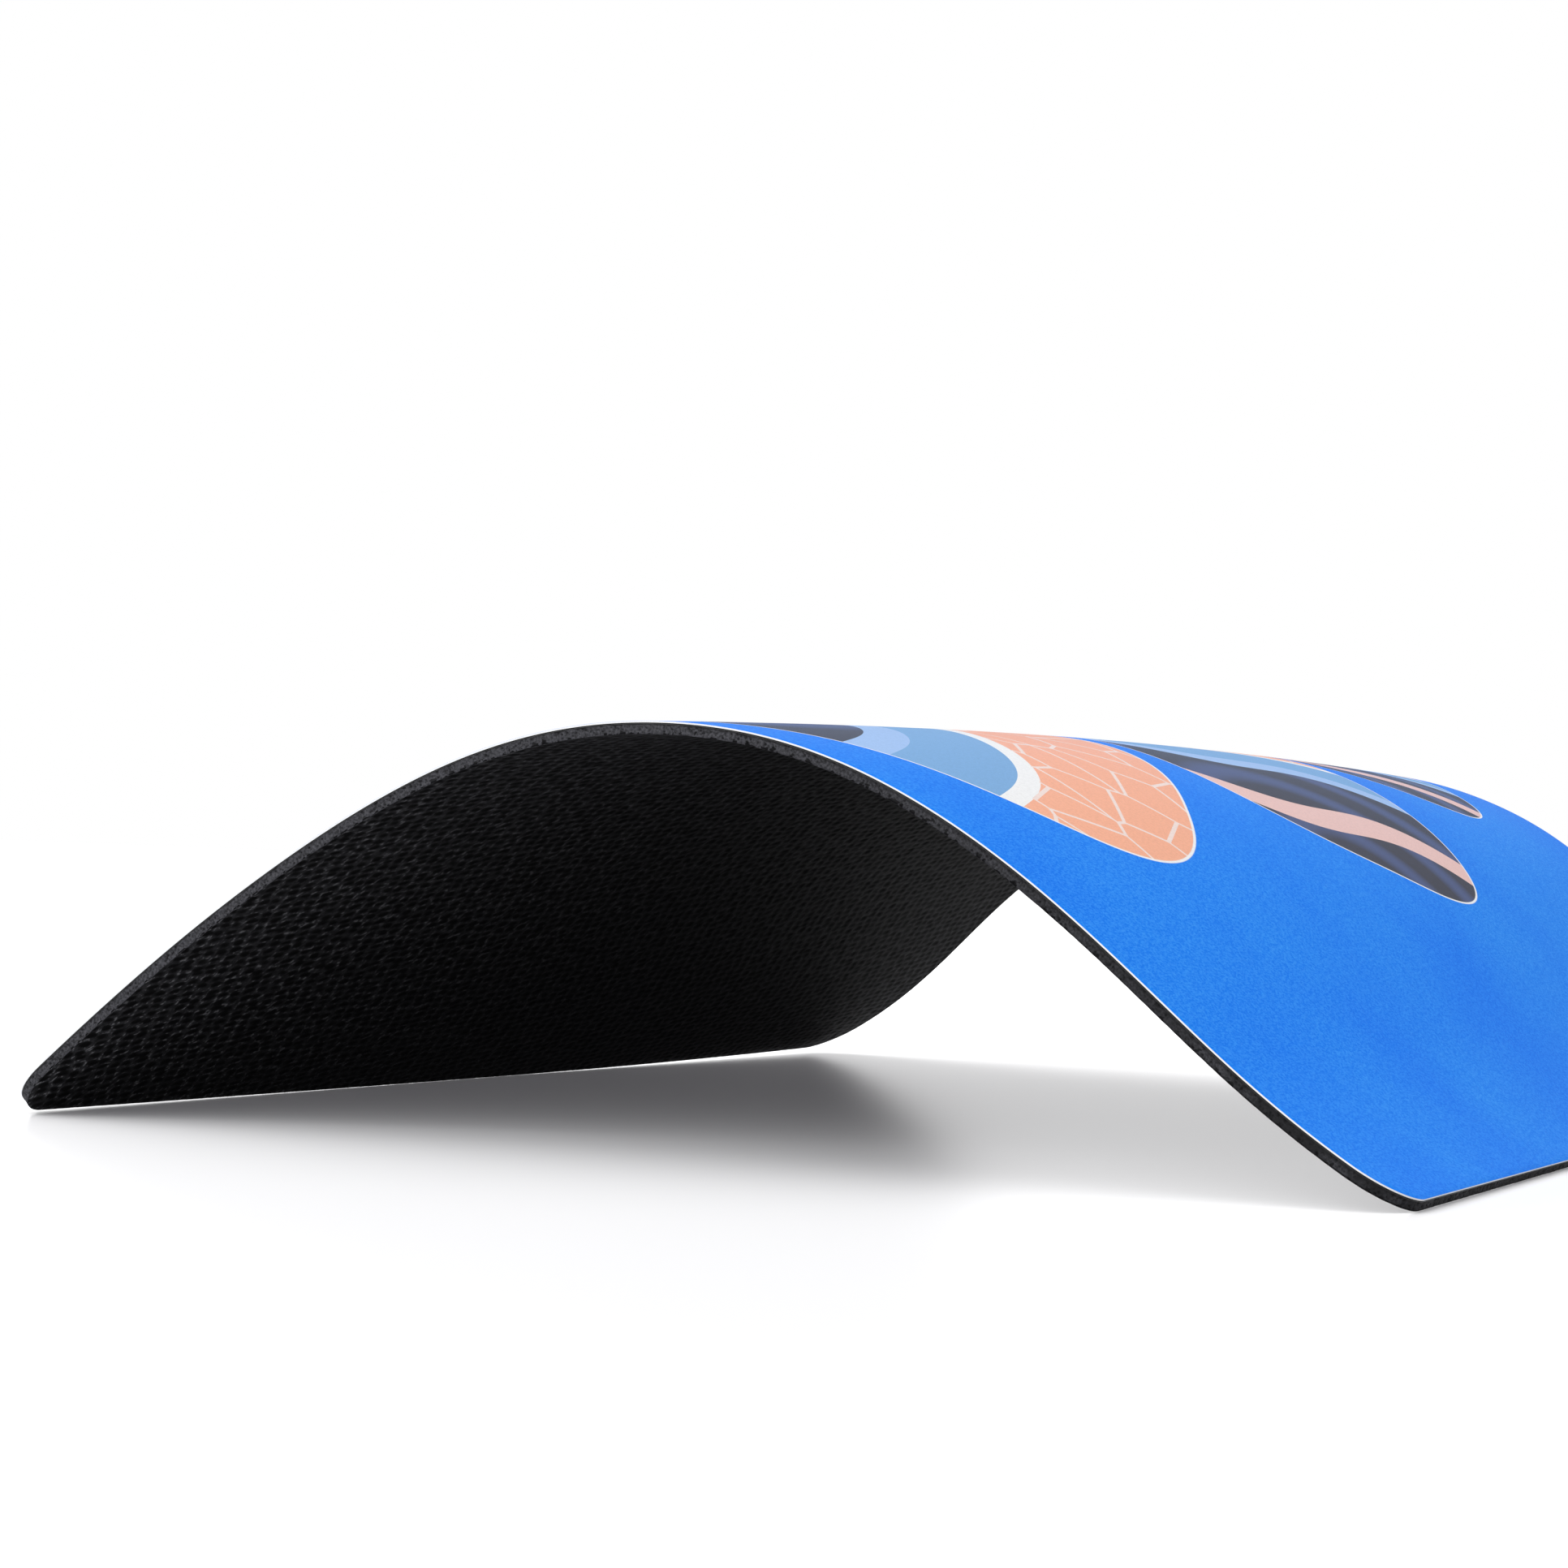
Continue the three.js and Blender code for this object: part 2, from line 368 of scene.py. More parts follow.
# The glue's stain: a crisp dark line on the left, wider and fainter on the right.
soaked = add_node(cut_foam, "TexNoise", {
    "Vector": place, "Scale": 1000 * glue_fingers_per_mm, "Detail": 2})
soaked = add_node(cut_foam, "Math", {
    0: soaked, 1: glue_sway, 2: flat_sides["Z"]}, operation="MULTIPLY_ADD")
narrowed = add_node(cut_foam, "MapRange", {
    "Value": flat_sides["X"], **stain_range, "To Min": 0.2, "To Max": 0.0})
soaked = add_node(cut_foam, "Math", {0: soaked, 1: narrowed}, operation="SUBTRACT")
strongest = add_node(cut_foam, "MapRange", {
    "Value": flat_sides["X"], **stain_range, "To Min": 1.0, "To Max": 0.58})
stain = add_node(cut_foam, "MapRange", {
    "Value": soaked, "From Min": -0.14, "From Max": 0.0, "To Max": strongest})
shade = add_node(cut_foam, "MixRGB", {
    "Fac": stain, "Color1": shade, "Color2": linear(core_glue_stain)})

# The lower edge of the cut, painted black in ragged notches from the left shoulder of the arch on,
# as painted shade of the pits that open there, and the grain of the cells.
most_notch_shade = add_node(cut_foam, "MapRange", {
    "Value": flat_sides["X"], "From Min": 35, "From Max": 75, "To Max": 0.95})
notch_shade = notch_shade_share(cut_foam, place, flat_sides["Z"], most_notch_shade)
shade = add_node(cut_foam, "MixRGB", {
    "Fac": notch_shade, "Color1": shade, "Color2": linear(core_hollow_shade)})
grain = add_node(cut_foam, "Bump", {"Height": cells, "Strength": 0.4, "Distance": 0.00004})
shine = add_node(cut_foam, "BsdfPrincipled", {
    "Base Color": shade, "Roughness": 0.9, "Specular IOR Level": 0.2, "Normal": grain})
add_node(cut_foam, "OutputMaterial", {"Surface": shine})
foamed_core.data.materials.append(cut_foam)


# Moulded anti-slip skin
# The rubber sheet is foamed on an embossed belt, which leaves a closed black skin below it with
# staggered rows of small lens-shaped pits. The ribs between them grip the desk.

skin_top = core_bottom
pit_depth = 0.17
pit_across = np.array([1.4, -0.95])
pit_along = np.array([0.42, 2.4])
pit_half_width = 0.6
pit_half_length = 1.15
pit_jitter = 0.46
pit_least_depth = 0.5
chance_repeats = (257, 263)
belt_wave = 0.18
wave_turns = (0.83, 1.13)
slow_wave_turns = (0.31, 0.27)
slow_wave_reach = 2.0
rim_pit_share = 0.12
pit_divisions = np.array([4, 5])
strip_width = 0.2
skin_count = 3400

wear_and_glint_spots_per_mm = 1.1
rib_black = "#1c1c1e"
rib_worn_black = "#3a3a3d"
pit_shade_black = "#080809"
rib_glint = "#77777b"


def outline_distance(places):
    """How far places on the flat pad are outside its outline, in millimetres, less than 0 inside:
    the distance to the rectangle through the middles of the corner arcs, less their radius."""
    half = np.array([pad_width, pad_depth]) / 2
    beyond = np.abs(places - half) - (half - corner_radius)
    outside = np.hypot(*np.maximum(beyond, 0).T)
    return outside + np.minimum(beyond.max(-1), 0) - corner_radius


def pit_shape(places):
    """Depth from 0 to 1 at places on the flat pad. A pit is a lens that is longest along the
    depth and deepest in its middle, and the deepest of the pits round a place counts. The rows
    wander in slow waves, and each pit is set a little off and is more or less deep."""
    width, depth = places.T
    wander = np.stack([
        np.sin(depth * wave_turns[0] + slow_wave_reach * np.sin(width * slow_wave_turns[0])),
        np.sin(width * wave_turns[1] + slow_wave_reach * np.sin(depth * slow_wave_turns[1]))], -1)
    counted = (places + belt_wave * wander) @ to_pits
    deepest = np.zeros(len(places))
    for step in np.ndindex(3, 3):
        pit = np.round(counted).astype(int) + step - np.ones(2, int)
        chance = pit_chances[tuple((pit % chance_repeats).T)]
        off = (counted - pit) @ from_pits + (chance[:, :2] - 0.5) * pit_jitter
        bowl = 1 - (off[:, 0] / pit_half_width) ** 2 - (off[:, 1] / pit_half_length) ** 2
        bowl = np.clip(bowl, 0, 1)
        deep = pit_least_depth + (1 - pit_least_depth) * chance[:, 2]
        deepest = np.maximum(deepest, bowl * (2 - bowl) * deep)
    return deepest


# The lattice that the pits are moulded in: whole numbers count pits, and quads divide each pit.
from_pits = np.array([pit_across, pit_along])
to_pits = np.linalg.inv(from_pits)
pit_chances = random.random((*chance_repeats, 3))
corner_pits = np.array([[0, 0], [pad_width, 0], [0, pad_depth], [pad_width, pad_depth]]) @ to_pits
first, last = np.floor(corner_pits.min(0)), np.ceil(corner_pits.max(0))
across_steps, along_steps = ((last - first) * pit_divisions).astype(int)
lattice_steps = np.stack(np.meshgrid(np.arange(across_steps + 1), np.arange(along_steps + 1),
                                     indexing="ij"), -1).reshape(-1, 2)
lattice = (lattice_steps / pit_divisions + first) @ from_pits
lattice_number = np.arange(len(lattice)).reshape(across_steps + 1, along_steps + 1)
squares = np.stack([lattice_number[:-1, :-1], lattice_number[:-1, 1:],
                    lattice_number[1:, 1:], lattice_number[1:, :-1]], -1)
inside = (outline_distance(lattice) < -strip_width)[squares].all(-1)
used, lattice_quads = np.unique(squares[inside], return_inverse=True)
lattice_quads = lattice_quads.reshape(-1, 4)
lattice = lattice[used]

# The strip of triangles between the stepped border of the lattice and the smooth cut rim.
edge_from, edge_to = lattice_quads.ravel(), np.roll(lattice_quads, -1, axis=1).ravel()
unpaired = ~np.isin(edge_from * len(used) + edge_to, edge_to * len(used) + edge_from)
border, border_edges = np.unique(np.stack([edge_from[unpaired], edge_to[unpaired]], -1),
                                 return_inverse=True)
border_edges = border_edges.reshape(-1, 2)
skin_rim = pad_rim(skin_count)[0]
rim_number = np.arange(skin_count)
rim_edges = np.stack([rim_number, (rim_number + 1) % skin_count], -1)
strip_places = np.concatenate([skin_rim, lattice[border]])
strip = fill_rim(strip_places, np.concatenate([rim_edges, border_edges + skin_count]),
                 np.empty((0, 2)))
strip_steps = (strip_places[strip].mean(1) @ to_pits - first) * pit_divisions
strip = strip[~inside[tuple(np.floor(strip_steps).astype(int).T)]]

# The places in their order: upper rim, lower rim, lattice, and the grid of the upper face.
skin_inner = flat_grid()
skin_fill = fill_rim(skin_rim, rim_edges, skin_inner)
skin_fill = np.where(skin_fill < skin_count, skin_fill, skin_fill + skin_count + len(lattice))
strip = np.where(strip < skin_count, strip + skin_count,
                 border[np.maximum(strip - skin_count, 0)] + 2 * skin_count)
skin_walls = np.stack([rim_edges[:, 0], rim_edges[:, 0] + skin_count,
                       rim_edges[:, 1] + skin_count, rim_edges[:, 1]], -1)
rim_pits, lattice_pits = rim_pit_share * pit_shape(skin_rim), pit_shape(lattice)
skin_flat = np.concatenate([
    np.column_stack([skin_rim, np.full(skin_count, skin_top)]),
    np.column_stack([skin_rim, skin_bottom + pit_depth * rim_pits]),
    np.column_stack([lattice, skin_bottom + pit_depth * lattice_pits]),
    np.column_stack([skin_inner, np.full(len(skin_inner), skin_top)]),
])
skin_pits = np.concatenate([
    np.zeros(skin_count), rim_pits, lattice_pits, np.zeros(len(skin_inner))])
skin_cut = (skin_flat[:, 2] == skin_top).astype(float)
moulded_skin = add_piece(
    "moulded_grip_skin", skin_flat,
    [lattice_quads + 2 * skin_count, strip[:, ::-1], skin_fill, skin_walls],
    "grip_skin", "moulded_skin", pit=skin_pits, cut=skin_cut)

# Moulded black rubber: satin, with a fine grain from the belt. The pits are painted near black as
# painted shade, the ribs are unevenly grey from wear and painted darker towards the far edge as
# painted shade, and small painted highlights sit on the ribs towards the near left corner. The cut
# wall shows the foam, painted black in ragged notches along its lower edge as painted shade of the
# pits that open there.
moulded_rubber = new_material("moulded_black_rubber")
place = add_node(moulded_rubber, "TexCoord").outputs["Object"]
flat_place = add_node(moulded_rubber, "Attribute", attribute_name="flat").outputs["Vector"]
flat_sides = add_node(moulded_rubber, "SeparateXYZ", {0: flat_place}).outputs
pit_mark = add_node(moulded_rubber, "Attribute", attribute_name="pit").outputs["Fac"]
cut_mark = add_node(moulded_rubber, "Attribute", attribute_name="cut").outputs["Fac"]
fine = add_node(moulded_rubber, "TexNoise", {"Vector": place, **cell_noise})
# One noise gives both the random wear of the ribs and the places of the painted glints.
wear_and_glint_spots = add_node(moulded_rubber, "TexNoise", {
    "Vector": place, "Scale": 1000 * wear_and_glint_spots_per_mm, "Detail": 2, "Roughness": 0.7})
# Painted shade: the lighter worn ribs fade out towards the far edge, which leaves the ribs there
# darker.
far_shade = add_node(moulded_rubber, "MapRange", {
    "Value": flat_sides["Y"], "From Min": 90, "From Max": 210, "To Min": 1.0, "To Max": 0.6})
worn_and_far_shade = add_node(moulded_rubber, "MapRange", {
    "Value": wear_and_glint_spots, "From Min": 0.36, "From Max": 0.62, "To Max": far_shade})
rib = add_node(moulded_rubber, "MixRGB", {
    "Fac": worn_and_far_shade, "Color1": linear(rib_black), "Color2": linear(rib_worn_black)})
# Painted shade: the pits are painted near black by their depth.
pit_shade = add_node(moulded_rubber, "MapRange", {"Value": pit_mark, "From Max": 0.48})
shade = add_node(moulded_rubber, "MixRGB", {
    "Fac": pit_shade, "Color1": rib, "Color2": linear(pit_shade_black)})
# Painted highlights: small bright glints on the ribs, strongest at the near left corner.
left_glints = add_node(moulded_rubber, "MapRange", {
    "Value": flat_sides["X"], "From Min": 10, "From Max": 95, "To Min": 1.0, "To Max": 0.06})
near_glints = add_node(moulded_rubber, "MapRange", {
    "Value": flat_sides["Y"], "From Min": 20, "From Max": 130, "To Min": 1.0, "To Max": 0.1})
glint_share = add_node(moulded_rubber, "Math", {0: left_glints, 1: near_glints}, operation="MULTIPLY")
glints = add_node(moulded_rubber, "MapRange", {
    "Value": wear_and_glint_spots, "From Min": 0.56, "From Max": 0.66, "To Max": glint_share})
on_rib = add_node(moulded_rubber, "MapRange", {
    "Value": pit_mark, "From Min": 0.05, "From Max": 0.3, "To Min": 1.0, "To Max": 0.0})
glints = add_node(moulded_rubber, "Math", {0: glints, 1: on_rib}, operation="MULTIPLY")
shade = add_node(moulded_rubber, "MixRGB", {
    "Fac": glints, "Color1": shade, "Color2": linear(rib_glint)})

# The cut wall of the skin, which goes on from the cut foam above it.
mottle = add_node(moulded_rubber, "MapRange", {"Value": fine, "From Min": 0.36, "From Max": 0.66})
wall = add_node(moulded_rubber, "MixRGB", {
    "Fac": mottle, "Color1": linear(core_grey), "Color2": linear(core_light_grey)})
# Darker towards the right end, as on the foam above.
towards_right = add_node(moulded_rubber, "MapRange", {"Value": flat_sides["X"], **right_dark_range})
wall = add_node(moulded_rubber, "MixRGB", {
    "Fac": towards_right, "Color1": wall, "Color2": linear(core_right_dark)})
# Painted shade: the lower part of the skin's cut wall is painted black in ragged notches, where the
# pits open.
wall_height = add_node(moulded_rubber, "Math", {
    0: cut_mark, 1: skin_top - skin_bottom, 2: skin_bottom}, operation="MULTIPLY_ADD")
notch_shade = notch_shade_share(moulded_rubber, place, wall_height, 1.0)
wall = add_node(moulded_rubber, "MixRGB", {
    "Fac": notch_shade, "Color1": wall, "Color2": linear(core_hollow_shade)})
on_wall = add_node(moulded_rubber, "MapRange", {
    "Value": cut_mark, "From Min": 0.02, "From Max": 0.15})
shade = add_node(moulded_rubber, "MixRGB", {"Fac": on_wall, "Color1": shade, "Color2": wall})
grain = add_node(moulded_rubber, "Bump", {"Height": fine, "Strength": 0.5, "Distance": 0.00003})
shine = add_node(moulded_rubber, "BsdfPrincipled", {
    "Base Color": shade, "Roughness": 0.6, "Specular IOR Level": 0.022, "Normal": grain})
add_node(moulded_rubber, "OutputMaterial", {"Surface": shine})
moulded_skin.data.materials.append(moulded_rubber)


# Film of glue
# A thin dark film bonds the cloth to the rubber. Where the knife cut the sheet, it shows as a
# fine line with tiny beads that were squeezed out.

glue_top = 0.0
glue_count = 4400
glue_bead = 0.025
bead_waves = ((173, 0.8), (451, 2.2), (937, 5.1))
specks_per_mm = 2.6
glue_black = "#101012"

glue_rim, glue_outward = pad_rim(glue_count)
beads = np.maximum(rim_waves(glue_count, bead_waves), 0)
glue_insets = np.array([0, -1, 0])[:, None] * glue_bead * beads / len(bead_waves)
glue_heights = [glue_top, (glue_top + core_top) / 2, core_top]
glue_flat, glue_faces = layer_solid(glue_rim, glue_heights, glue_insets, glue_outward, flat_grid())
glue_line = add_piece("glue_line", glue_flat, glue_faces, "adhesive_film", "glue_film")

# Set glue: smooth and almost black, with a soft gloss and specks of dust on its cut line.
set_glue = new_material("set_dark_glue")
place = add_node(set_glue, "TexCoord").outputs["Object"]
dust = add_node(set_glue, "TexNoise", {
    "Vector": place, "Scale": 1000 * specks_per_mm, "Detail": 2})
specks = add_node(set_glue, "MapRange", {
    "Value": dust, "From Min": 0.62, "From Max": 0.7, "To Max": 0.3})
dusty = add_node(set_glue, "MixRGB", {
    "Fac": specks, "Color1": linear(glue_black), "Color2": linear(core_light_grey)})
shine = add_node(set_glue, "BsdfPrincipled", {"Base Color": dusty, "Roughness": 0.45})
add_node(set_glue, "OutputMaterial", {"Surface": shine})
glue_line.data.materials.append(set_glue)


# Printed cloth
# A fine knitted polyester cloth, white all through, whose face is dyed by heat transfer before
# the cloth is laminated and cut. The cut leaves a narrow white line round the whole pad.

cloth_count = 2600
cloth_step_across = 1.5
cloth_step_along = 2.4
cloth_border = 0.8
cloth_heights = np.array([cloth_top, 0.295, 0.28, 0.2, 0.1, glue_top])
cloth_insets = np.array([0.035, 0.018, 0.004, 0.0, 0.0, 0.0])
cut_thread = 0.012

knit_wale = 0.42
knit_course = 0.34
loop_relief = 0.3
fibres_per_mm = (3.6, 1.7, 1.0)
clouds_per_mm = 0.022
edge_fibres_per_mm = 14
dye_blue = "#0783fd"
dye_deep_blue = "#007afb"
dye_pale_blue = "#3fa2fd"
sheen_blue = "#a9c6f2"
cloth_white = "#f4f5f7"

cloth_rim, cloth_outward = pad_rim(cloth_count)
threads = random.random((len(cloth_heights), cloth_count)) * cut_thread
threads[[0, -1]] = 0
cloth_flat, cloth_faces = layer_solid(
    cloth_rim, cloth_heights, cloth_insets[:, None] + threads, cloth_outward,
    flat_grid(cloth_step_across, cloth_step_along, cloth_border))
printed_face = add_piece(
    "printed_face_cloth", cloth_flat, cloth_faces, "printed_cloth", "dyed_cloth")

# Heat-dyed polyester knit: matt, even and saturated, with fine loops and a soft sheen. Its dye
# reaches only the top of the cloth, so that the cut edge stays white.
dyed_cloth = new_material("heat_dyed_polyester_knit")
flat_place = add_node(dyed_cloth, "Attribute", attribute_name="flat").outputs["Vector"]
height = add_node(dyed_cloth, "SeparateXYZ", {0: flat_place}).outputs["Z"]

# The knit: rows of small loops as two crossing waves, and uneven fibres over them. The real
# stitches are too fine to show, so they are drawn coarser, about 0.4 mm apart.
stitch_place = add_node(dyed_cloth, "VectorMath", {
    0: flat_place, 1: (2 * np.pi / knit_wale, 2 * np.pi / knit_course, 0)}, operation="MULTIPLY")
stitches = add_node(dyed_cloth, "SeparateXYZ", {0: stitch_place}).outputs
wale = add_node(dyed_cloth, "Math", {0: stitches["X"]}, operation="SINE")
course = add_node(dyed_cloth, "Math", {0: stitches["Y"]}, operation="SINE")
loops = add_node(dyed_cloth, "Math", {0: wale, 1: course}, operation="MULTIPLY")
thread_place = add_node(dyed_cloth, "VectorMath", {
    0: flat_place, 1: fibres_per_mm}, operation="MULTIPLY")
fibres = add_node(dyed_cloth, "TexNoise", {
    "Vector": thread_place, "Scale": 1.0, "Detail": 3, "Roughness": 0.7, "Distortion": 0.4})
relief = add_node(dyed_cloth, "Math", {
    0: loops, 1: loop_relief, 2: fibres}, operation="MULTIPLY_ADD")

# The ground dye: even blue with faint broad clouds and a fine speckle from loop to loop.
clouds = add_node(dyed_cloth, "TexNoise", {
    "Vector": flat_place, "Scale": clouds_per_mm, "Detail": 2})
cloudy = add_node(dyed_cloth, "MapRange", {"Value": clouds, "From Min": 0.35, "From Max": 0.65})
ground = add_node(dyed_cloth, "MixRGB", {
    "Fac": cloudy, "Color1": linear(dye_deep_blue), "Color2": linear(dye_blue)})
patchy = add_node(dyed_cloth, "MapRange", {
    "Value": clouds, "From Min": 0.3, "From Max": 0.7, "To Min": 0.35, "To Max": 0.8})
speckle = add_node(dyed_cloth, "MapRange", {
    "Value": fibres, "From Min": 0.42, "From Max": 0.62, "To Max": patchy})
ground = add_node(dyed_cloth, "MixRGB", {
    "Fac": speckle, "Color1": ground, "Color2": linear(dye_pale_blue)})

# The print: three rounded tiles of different sizes, set zigzag and turned, each with a thin
# white outline. Each has its middle's width and depth, half its size and its turn in radians.
# A place is found in the nearest tile's own turned and scaled places, where heights come to
# nothing, and a tile ends where the cubes of its two sides add up to 1.
tiles = ((100, 54, 43, 0.5), (122, 140, 34, 2.7), (110, 208, 27, 2.3))
flattening = 1e6
tile_salmon = "#ffb998"
tile_light_salmon = "#f2cbc4"
tile_joint = "#fbe6de"
tile_sky = "#82b1e1"
tile_light_sky = "#a8c8f5"
tile_charcoal = "#48464c"
tile_slate = "#5b6792"
tile_white = "#fbfbfb"
tile_place, nearest_tile = None, None
for tile_width, tile_depth, tile_half, tile_turn in tiles:
    own_place = add_node(dyed_cloth, "Mapping", {
        "Vector": flat_place, "Location": (tile_width, tile_depth, 0),
        "Rotation": (0, 0, tile_turn), "Scale": (tile_half, tile_half, flattening)},
        vector_type="TEXTURE")
    sides = add_node(dyed_cloth, "VectorMath", {0: own_place}, operation="ABSOLUTE")
    side_squares = add_node(dyed_cloth, "VectorMath", {0: sides, 1: sides}, operation="MULTIPLY")
    cubes = add_node(dyed_cloth, "VectorMath", {
        0: sides, 1: side_squares}, operation="DOT_PRODUCT").outputs["Value"]
    if tile_place is None:
        tile_place, nearest_tile = own_place, cubes
    else:
        closer = add_node(dyed_cloth, "Math", {0: cubes, 1: nearest_tile}, operation="LESS_THAN")
        tile_place = add_node(dyed_cloth, "MixRGB", {
            "Fac": closer, "Color1": tile_place, "Color2": own_place})
        nearest_tile = add_node(dyed_cloth, "Math", {
            0: cubes, 1: nearest_tile}, operation="MINIMUM")
from_tile_middle = add_node(dyed_cloth, "Math", {0: nearest_tile, 1: 1 / 3}, operation="POWER")

# Wavy bands across each tile, from where each starts on the way from one side to the other.
light_start, dark_start, sky_start, salmon_start = 0.16, 0.25, 0.44, 0.67
band_colours = ((0.0, tile_charcoal), (light_start, tile_light_salmon), (dark_start, tile_charcoal),
                (sky_start, tile_light_sky), (0.5, tile_sky), (0.64, tile_white),
                (salmon_start, tile_salmon))
swell_turns = 3.1
swell_reach = 0.1
in_tile = add_node(dyed_cloth, "SeparateXYZ", {0: tile_place}).outputs
swell = add_node(dyed_cloth, "Math", {0: in_tile["Y"], 1: swell_turns}, operation="MULTIPLY")
swell = add_node(dyed_cloth, "Math", {0: swell}, operation="SINE")
stripe = add_node(dyed_cloth, "Math", {
    0: swell, 1: swell_reach, 2: in_tile["X"]}, operation="MULTIPLY_ADD")
stripe = add_node(dyed_cloth, "MapRange", {"Value": stripe, "From Min": -1.1, "From Max": 1.1})
bands = add_node(dyed_cloth, "ValToRGB", {"Fac": stripe})
bands.color_ramp.interpolation = "CONSTANT"
for band, (band_start, band_colour) in enumerate(band_colours):
    if band > 1:
        bands.color_ramp.elements.new(band_start)
    bands.color_ramp.elements[band].position = band_start
    bands.color_ramp.elements[band].color = linear(band_colour)

# A mosaic with pale joints on the salmon side, and soft ripples in the dark bands.
mosaic_size = 11
joint_half = 0.027
ripple_middle = (-1.3, 0.2, 0)
ripple_turns = 15.0
mosaic = add_node(dyed_cloth, "TexVoronoi", {"Vector": flat_place, "Scale": 1 / mosaic_size},
                  feature="DISTANCE_TO_EDGE", voronoi_dimensions="2D")
joint = add_node(dyed_cloth, "Math", {0: mosaic, 1: joint_half}, operation="LESS_THAN")
salmon_side = add_node(dyed_cloth, "Math", {0: stripe, 1: salmon_start}, operation="GREATER_THAN")
joint = add_node(dyed_cloth, "Math", {0: joint, 1: salmon_side}, operation="MULTIPLY")
picture = add_node(dyed_cloth, "MixRGB", {
    "Fac": joint, "Color1": bands, "Color2": linear(tile_joint)})
ripple = add_node(dyed_cloth, "VectorMath", {
    0: tile_place, 1: ripple_middle}, operation="DISTANCE").outputs["Value"]
ripple = add_node(dyed_cloth, "Math", {0: ripple, 1: ripple_turns}, operation="MULTIPLY")
ripple = add_node(dyed_cloth, "Math", {0: ripple}, operation="SINE")
ripple = add_node(dyed_cloth, "MapRange", {
    "Value": ripple, "From Min": -0.3, "From Max": 1.0, "To Max": 0.75})
light_band = add_node(dyed_cloth, "Math", {
    0: stripe, 1: (light_start + dark_start) / 2, 2: (dark_start - light_start) / 2},
    operation="COMPARE")
dark_side = add_node(dyed_cloth, "Math", {0: stripe, 1: sky_start}, operation="LESS_THAN")
dark_side = add_node(dyed_cloth, "Math", {0: dark_side, 1: light_band}, operation="SUBTRACT")
ripple = add_node(dyed_cloth, "Math", {0: ripple, 1: dark_side}, operation="MULTIPLY")
picture = add_node(dyed_cloth, "MixRGB", {
    "Fac": ripple, "Color1": picture, "Color2": linear(tile_slate)})
inside_tile = add_node(dyed_cloth, "MapRange", {
    "Value": from_tile_middle, "From Min": 0.997, "From Max": 1.003, "To Min": 1.0, "To Max": 0.0})
printed = add_node(dyed_cloth, "MixRGB", {
    "Fac": inside_tile, "Color1": ground, "Color2": picture})
from_rim = add_node(dyed_cloth, "Math", {0: from_tile_middle, 1: 1.0}, operation="SUBTRACT")
from_rim = add_node(dyed_cloth, "Math", {0: from_rim}, operation="ABSOLUTE")
outline = add_node(dyed_cloth, "MapRange", {
    "Value": from_rim, "From Min": 0.003, "From Max": 0.006, "To Min": 1.0, "To Max": 0.0})
printed = add_node(dyed_cloth, "MixRGB", {
    "Fac": outline, "Color1": printed, "Color2": linear(tile_white)})

# Ink that the threads took up unevenly, over the print as well.
uneven = add_node(dyed_cloth, "MapRange", {
    "Value": fibres, "From Min": 0.3, "From Max": 0.6, "To Min": 0.9, "To Max": 1.0})
printed = add_node(dyed_cloth, "MixRGB", {
    "Fac": 1.0, "Color1": printed, "Color2": uneven}, blend_type="MULTIPLY")

# The cut edge: white threads below the dye, the lowest of them soaked with the dark glue.
dyed_depth = add_node(dyed_cloth, "MapRange", {
    "Value": height, "From Min": 0.272, "From Max": 0.296})
edge_fibres = add_node(dyed_cloth, "TexNoise", {
    "Vector": flat_place, "Scale": edge_fibres_per_mm, "Detail": 2})
edge_uneven = add_node(dyed_cloth, "MapRange", {
    "Value": edge_fibres, "From Min": 0.3, "From Max": 0.6, "To Min": 0.8, "To Max": 1.0})
edge_white = add_node(dyed_cloth, "MixRGB", {
    "Fac": 1.0, "Color1": linear(cloth_white), "Color2": edge_uneven}, blend_type="MULTIPLY")
glue_soaked = add_node(dyed_cloth, "MapRange", {
    "Value": height, "From Min": 0.09, "From Max": 0.12, "To Min": 1.0, "To Max": 0.0})
edge_white = add_node(dyed_cloth, "MixRGB", {
    "Fac": glue_soaked, "Color1": edge_white, "Color2": linear(glue_black)})
coloured = add_node(dyed_cloth, "MixRGB", {
    "Fac": dyed_depth, "Color1": edge_white, "Color2": printed})
weave = add_node(dyed_cloth, "Bump", {"Height": relief, "Strength": 0.35, "Distance": 0.00005})
shine = add_node(dyed_cloth, "BsdfPrincipled", {
    "Base Color": coloured, "Roughness": 0.85, "Specular IOR Level": 0.05, "Sheen Weight": 0.4,
    "Sheen Roughness": 0.2, "Sheen Tint": linear(sheen_blue), "Normal": weave})
add_node(dyed_cloth, "OutputMaterial", {"Surface": shine})
printed_face.data.materials.append(dyed_cloth)


# Table
# A plain white satin table top that mirrors a little at a low angle, and runs into a white
# background with no visible end.

table_half = 6.0
table_white = "#ebebec"
mirror_white = (0.75, 0.75, 0.75, 1)
glow_white = (0.95, 0.93, 1, 1)
no_light = (0, 0, 0, 1)

table_corners = [(-table_half, -table_half, 0), (table_half, -table_half, 0),
                 (table_half, table_half, 0), (-table_half, table_half, 0)]
table_mesh = bpy.data.meshes.new("white_table")
table_mesh.from_pydata(table_corners, [], [(0, 1, 2, 3)])
table = bpy.data.objects.new("white_table", table_mesh)
bpy.context.scene.collection.objects.link(table)


def seen_rays(owner):
    """1 for rays by which the camera sees, direct, mirrored or passed through, and 0 for rays
    that carry light."""
    ray = add_node(owner, "LightPath").outputs
    mirrored = add_node(owner, "Math", {
        0: ray["Is Glossy Ray"], 1: ray["Is Transmission Ray"]}, operation="MAXIMUM")
    return add_node(owner, "Math", {0: ray["Is Camera Ray"], 1: mirrored}, operation="MAXIMUM")


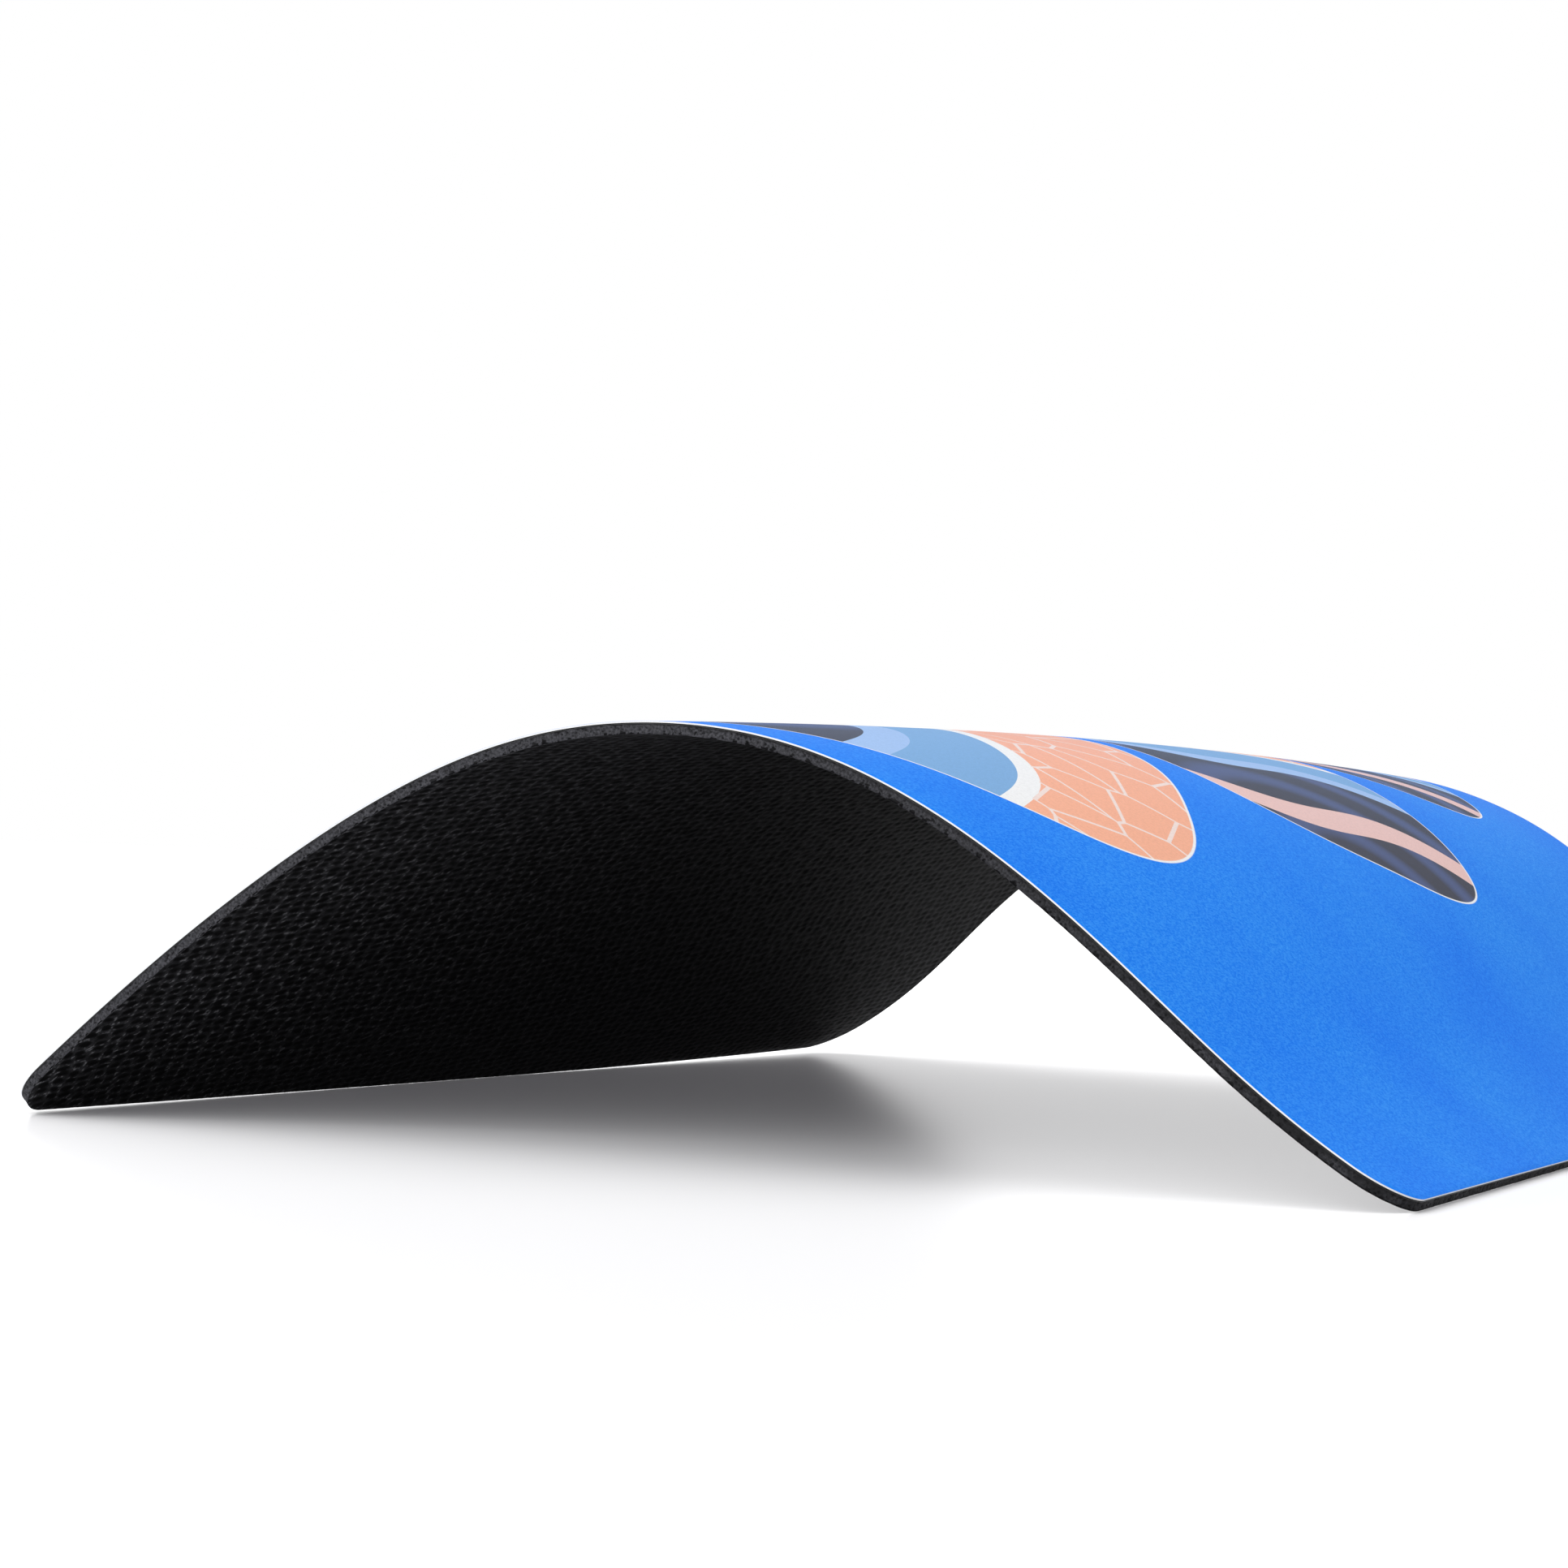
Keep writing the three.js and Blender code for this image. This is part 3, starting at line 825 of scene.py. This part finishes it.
# Satin white lacquer: even and bright, with a blurred mirror at a low angle. The mirror and a
# faint glow are only for the camera, and the pad gets its light from the dull white alone.
satin_white = new_material("satin_white_table_top")
dull = add_node(satin_white, "BsdfDiffuse", {"Color": linear(table_white)})
mirror = add_node(satin_white, "BsdfGlossy", {"Color": mirror_white, "Roughness": 0.16})
no_mirror = add_node(satin_white, "BsdfDiffuse", {"Color": no_light})
grazing = add_node(satin_white, "Fresnel", {"IOR": 1.45})
gloss = add_node(satin_white, "MixShader", {0: grazing, 1: no_mirror, 2: mirror})
faint_glow = add_node(satin_white, "Emission", {"Color": glow_white, "Strength": 0.08})
gloss = add_node(satin_white, "AddShader", {0: gloss, 1: faint_glow})
glossed = add_node(satin_white, "AddShader", {0: dull, 1: gloss})
both = add_node(satin_white, "MixShader", {0: seen_rays(satin_white), 1: dull, 2: glossed})
add_node(satin_white, "OutputMaterial", {"Surface": both})
table.data.materials.append(satin_white)


# Light
# A large soft box overhead, a weaker one in front on the left, and an even white surround, which
# the camera sees in full white but which lights the pad only about half as strongly.

surround_seen = 1.0
surround_light = 0.54

surround = bpy.data.worlds.new("white_surround")
bpy.context.scene.world = surround
surround.use_nodes = True
surround.node_tree.nodes.clear()
strength = add_node(surround, "MapRange", {
    "Value": seen_rays(surround), "To Min": surround_light, "To Max": surround_seen})
glow = add_node(surround, "Background", {"Color": (1, 1, 1, 1), "Strength": strength})
add_node(surround, "OutputWorld", {"Surface": glow})


def placed(side, upright, back, place):
    """The matrix of a lamp or camera at a place in metres, from the three ways it is turned."""
    turned = np.eye(4)
    turned[:3, :3] = np.stack([side, upright, back], -1)
    turned[:3, 3] = place
    return Matrix(turned.tolist())


def soft_box(name, place, aim, size, power):
    """A square lamp at a place that faces another place, in metres and watts."""
    light = bpy.data.lights.new(name, "AREA")
    light.shape, light.size, light.energy = "SQUARE", size, power
    lamp = bpy.data.objects.new(name, light)
    bpy.context.scene.collection.objects.link(lamp)
    back = np.array(place, float) - aim
    back /= np.linalg.norm(back)
    side = np.cross([0, 1, 0], back)
    side /= np.linalg.norm(side)
    lamp.matrix_world = placed(side, np.cross(back, side), back, place)


soft_box("overhead_soft_box", place=(-0.1, 0.1, 1.2), aim=(0, 0, 0), size=2.4, power=12.0)
soft_box("front_soft_box", place=(-0.35, -1.05, 0.45), aim=(0, 0, 0.02), size=1.0, power=6.5)


# Camera
# Low in front of the near edge and to the right, as in the photograph, pointed up by one degree
# and rolled by two.

lens_mm = 90.27
sensor_mm = 36.0
camera_place = (0.18905, -0.51140, 0.03465)
camera_yaw, camera_pitch, camera_roll = np.radians([-23.991, 0.988, 2.118])
nearest_seen, farthest_seen = 0.01, 50

forward = np.array([np.sin(camera_yaw) * np.cos(camera_pitch),
                    np.cos(camera_yaw) * np.cos(camera_pitch), np.sin(camera_pitch)])
level = np.array([np.cos(camera_yaw), -np.sin(camera_yaw), 0])
side = level * np.cos(camera_roll) + np.cross(level, forward) * np.sin(camera_roll)
camera_data = bpy.data.cameras.new("camera")
camera_data.lens, camera_data.sensor_width = lens_mm, sensor_mm
camera_data.clip_start, camera_data.clip_end = nearest_seen, farthest_seen
camera = bpy.data.objects.new("camera", camera_data)
bpy.context.scene.collection.objects.link(camera)
camera.matrix_world = placed(side, np.cross(side, forward), -forward, camera_place)
bpy.context.scene.camera = camera
bpy.context.scene.view_settings.view_transform = "Standard"
